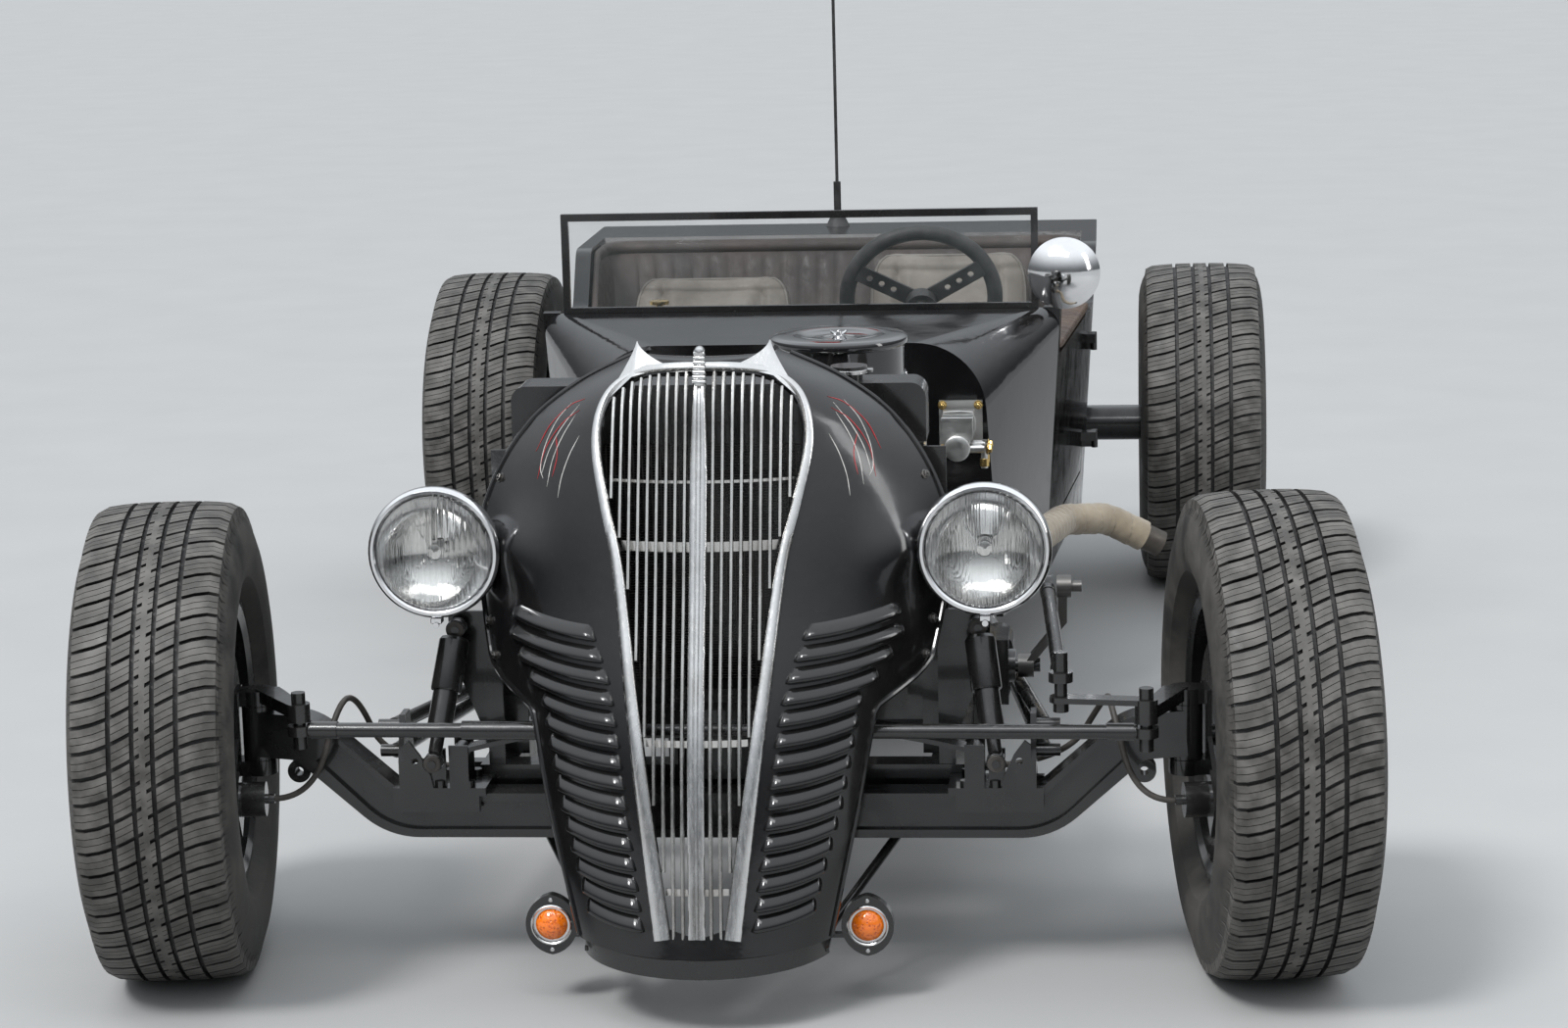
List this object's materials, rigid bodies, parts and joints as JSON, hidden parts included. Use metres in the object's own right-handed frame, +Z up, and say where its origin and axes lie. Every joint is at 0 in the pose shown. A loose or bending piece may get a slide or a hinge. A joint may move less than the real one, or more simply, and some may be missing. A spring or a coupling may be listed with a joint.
{
  "type": "street_rod_roadster",
  "caption": "Street rod roadster, gloss black, with open engine, waterfall grille with louvred sides, dropped front axle, two-seat tub and whip antenna with a red flag",
  "frame": {"origin": "on the ground, at the middle of the bounding box", "axes": "+X to the car's left side, +Y to its rear, +Z up"},
  "size_m": [1.8766, 3.4039, 1.65],
  "materials": {
    "body_black": "gloss black paint, a little dusty",
    "frame_black": "gloss black paint on frame and axle",
    "steel_dark": "plain oiled steel",
    "chrome": "polished, with brown stains",
    "aluminium": "worn cast and sheet aluminium",
    "engine_iron": "painted casting",
    "tyre_rubber": "matt tyre rubber",
    "rubber": "matt rubber hose",
    "brass": "worn brass",
    "leather_brown": "brown-black leather",
    "leather_light": "light grey-beige leather",
    "glass": "clear glass",
    "amber": "amber lens",
    "red_cloth": "red cloth",
    "wrap_cloth": "woven heat wrap",
    "red_lens": "red lens",
    "black_plastic": "black plastic"
  },
  "bodies": {
    "chassis": {"air_cleaner": "body_black", "antenna": "black_plastic", "body_tub": "body_black", "brake_cylinder": "aluminium", "brake_hose_left": "rubber", "brake_hose_right": "rubber", "brass_valve": "brass", "cabin_lining": "leather_brown", "cross_members": "frame_black", "cylinder_head": "engine_iron", "dampers": "frame_black", "dashboard": "body_black", "engine_block": "engine_iron", "exhaust_header": "steel_dark", "exhaust_wrap": "wrap_cloth", "flag": "red_cloth", "front_axle": "frame_black", "front_drive": "engine_iron", "front_links": "frame_black", "front_spring": "frame_black", "grille_bars": "chrome", "grille_shell": "body_black", "grille_trim": "chrome", "headlamp_lenses": "glass", "headlamps": "chrome", "intake": "aluminium", "louvres": "body_black", "mirror": "chrome", "radiator": "body_black", "radiator_hose": "rubber", "rail_left": "frame_black", "rail_right": "frame_black", "rear_axle": "frame_black", "rear_links": "frame_black", "seats": "leather_light", "shell_band": "body_black", "signal_lenses": "amber", "steering_column": "frame_black", "tail_lamps": "red_lens", "turn_signals": "body_black", "windscreen_frame": "body_black", "windscreen_glass": "glass"},
    "knuckle_left": {"knuckle_left": "frame_black"},
    "knuckle_right": {"knuckle_right": "frame_black"},
    "wheel_front_left": {"wheel_front_left": "steel_dark", "tyre_front_left": "tyre_rubber"},
    "wheel_front_right": {"wheel_front_right": "steel_dark", "tyre_front_right": "tyre_rubber"},
    "wheel_rear_left": {"wheel_rear_left": "steel_dark", "tyre_rear_left": "tyre_rubber"},
    "wheel_rear_right": {"wheel_rear_right": "steel_dark", "tyre_rear_right": "tyre_rubber"},
    "tie_rod": {"tie_rod": "frame_black"},
    "drag_link": {"drag_link": "frame_black"},
    "pitman_arm": {"pitman_arm": "frame_black"},
    "steering_wheel": {"steering_wheel": "black_plastic"},
    "door_left": {"door_left": "body_black", "door_pad_left": "leather_brown"},
    "door_right": {"door_right": "body_black", "door_pad_right": "leather_brown"}
  },
  "joints": [
    {"name": "steer", "type": "hinge", "parent": "chassis", "child": "knuckle_left", "pos_m": [0.672, -1.33148, 0.358], "axis": [0, 0, 1], "range_deg": [-32.1, 17.9], "deforming": ["brake_hose_left"]},
    {"name": "steer_right", "type": "hinge", "parent": "chassis", "child": "knuckle_right", "pos_m": [-0.672, -1.33148, 0.358], "axis": [0, 0, 1], "range_deg": [-32.1, 17.9], "deforming": ["brake_hose_right"]},
    {"name": "spin_front_left", "type": "hinge", "parent": "knuckle_left", "child": "wheel_front_left", "pos_m": [0.78909, -1.31689, 0.348], "axis": [0.9923, 0.1236, 0], "continuous": true},
    {"name": "spin_front_right", "type": "hinge", "parent": "knuckle_right", "child": "wheel_front_right", "pos_m": [-0.78909, -1.34606, 0.348], "axis": [0.9923, 0.1236, 0], "continuous": true},
    {"name": "spin_rear_left", "type": "hinge", "parent": "chassis", "child": "wheel_rear_left", "pos_m": [0.765, 1.35852, 0.3435], "axis": [1, 0, 0], "continuous": true},
    {"name": "spin_rear_right", "type": "hinge", "parent": "chassis", "child": "wheel_rear_right", "pos_m": [-0.765, 1.35852, 0.3435], "axis": [1, 0, 0], "continuous": true},
    {"name": "tie_rod_eye", "type": "hinge", "parent": "knuckle_left", "child": "tie_rod", "pos_m": [0.61501, -1.46454, 0.389], "axis": [0, 0, 1], "range_deg": [-20.2, 36]},
    {"name": "drag_link_swing", "type": "hinge", "parent": "chassis", "child": "drag_link", "pos_m": [1.5402, -0.90878, 0.472], "axis": [0, 0, 1], "range_deg": [-5.6, 3.2]},
    {"name": "pitman_shaft", "type": "hinge", "parent": "chassis", "child": "pitman_arm", "pos_m": [0.436, -0.91271, 0.35136], "axis": [1, 0, 0], "range_deg": [-47.4, 26.5]},
    {"name": "steering_wheel_turn", "type": "hinge", "parent": "chassis", "child": "steering_wheel", "pos_m": [0.207, 0.51852, 0.733], "axis": [-0.0599, 0.935, 0.3496], "range_deg": [-514, 287]},
    {"name": "door_left_hinge", "type": "hinge", "parent": "chassis", "child": "door_left", "pos_m": [0.53762, 0.83602, 0.51], "axis": [0, 0, 1], "range_deg": [0, 65]},
    {"name": "door_right_hinge", "type": "hinge", "parent": "chassis", "child": "door_right", "pos_m": [-0.53762, 0.83602, 0.51], "axis": [0, 0, -1], "range_deg": [0, 65]}
  ],
  "couplings": [
    {"joint": "steer_right", "follows": "steer", "ratio": 1},
    {"joint": "tie_rod_eye", "follows": "steer", "ratio": -1.1166},
    {"joint": "drag_link_swing", "follows": "steer", "ratio": 0.1708},
    {"joint": "pitman_shaft", "follows": "steer", "ratio": 1.472},
    {"joint": "steering_wheel_turn", "follows": "steer", "ratio": 16}
  ]
}
